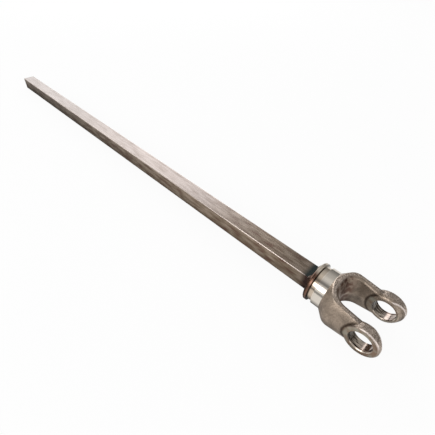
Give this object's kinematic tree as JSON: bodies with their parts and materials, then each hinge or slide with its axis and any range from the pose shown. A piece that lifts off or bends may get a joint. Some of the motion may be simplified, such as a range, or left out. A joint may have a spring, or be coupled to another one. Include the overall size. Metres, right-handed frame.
{
  "type": "power take-off shaft",
  "caption": "Solid square drive shaft welded into a forged yoke whose two ears are cross-bored for a universal joint.",
  "frame": {"origin": "centre of the cross bore, midway between the two ears", "axes": "+X along the shaft from the bar towards the ears, +Y along the cross bore, +Z square to both"},
  "size_m": [1.1678, 0.0872, 0.0632],
  "materials": {
    "forged_steel": "forged and tumbled, machined on the hub, ears and bore",
    "drawn_steel": "cold drawn, lightly browned",
    "weld_metal": "as welded, heat tinted"
  },
  "bodies": {
    "root": {"yoke": "forged_steel", "square_shaft": "drawn_steel", "weld_bead": "weld_metal"}
  },
  "joints": []
}
